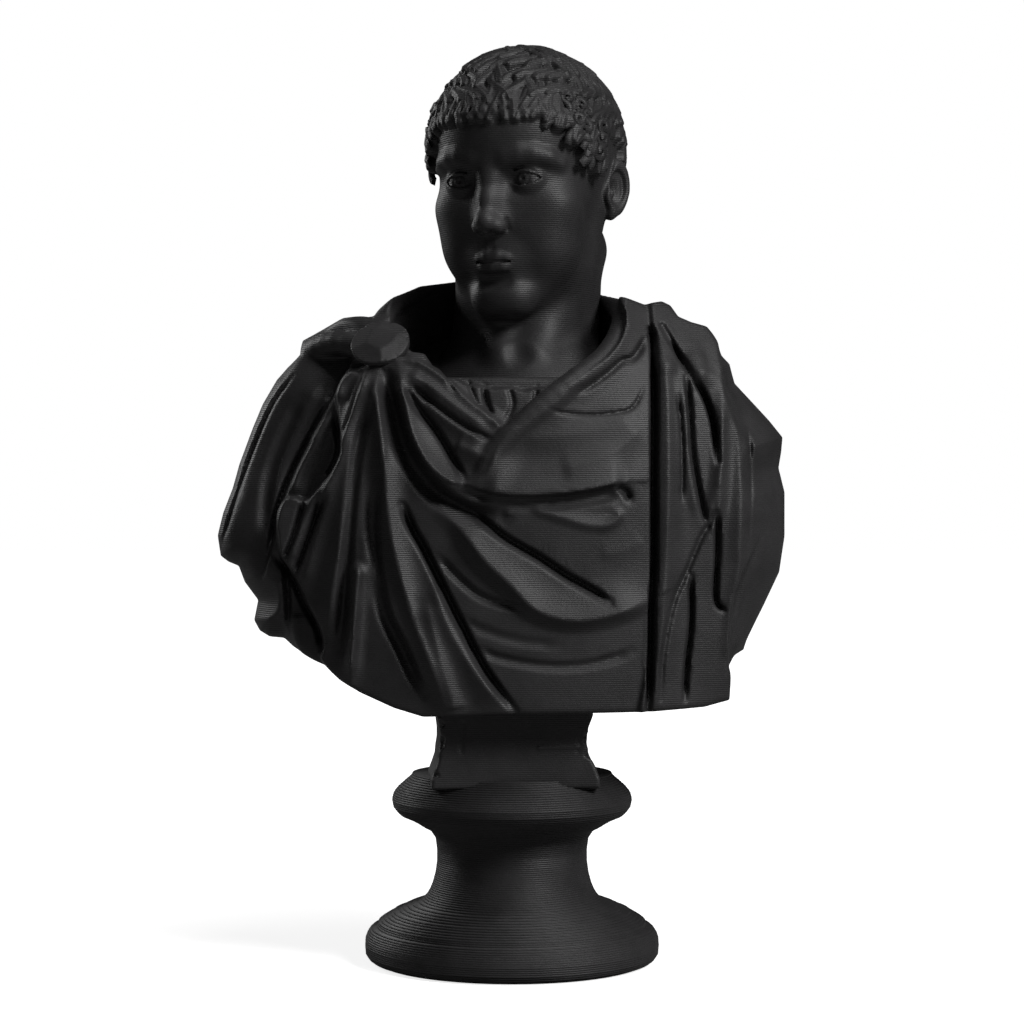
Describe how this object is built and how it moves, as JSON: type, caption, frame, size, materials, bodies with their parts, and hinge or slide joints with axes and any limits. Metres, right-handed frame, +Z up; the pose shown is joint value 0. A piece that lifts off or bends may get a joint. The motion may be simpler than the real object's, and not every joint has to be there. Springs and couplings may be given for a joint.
{
  "type": "portrait bust",
  "caption": "Portrait bust of a Roman emperor in a pinned cloak on a turned round socle, made as one printed piece that stands on its flat underside.",
  "frame": {"origin": "centre of the socle's flat underside, on the surface it stands on", "axes": "+Z up, from the underside to the crown; the chest faces -Y; +X to the viewer's right"},
  "size_m": [0.0851, 0.044, 0.1375],
  "materials": {
    "printed_plastic": "black printing plastic, matt, with fine level layer lines"
  },
  "bodies": {
    "root": {"roman_emperor_bust": "printed_plastic"}
  },
  "joints": []
}
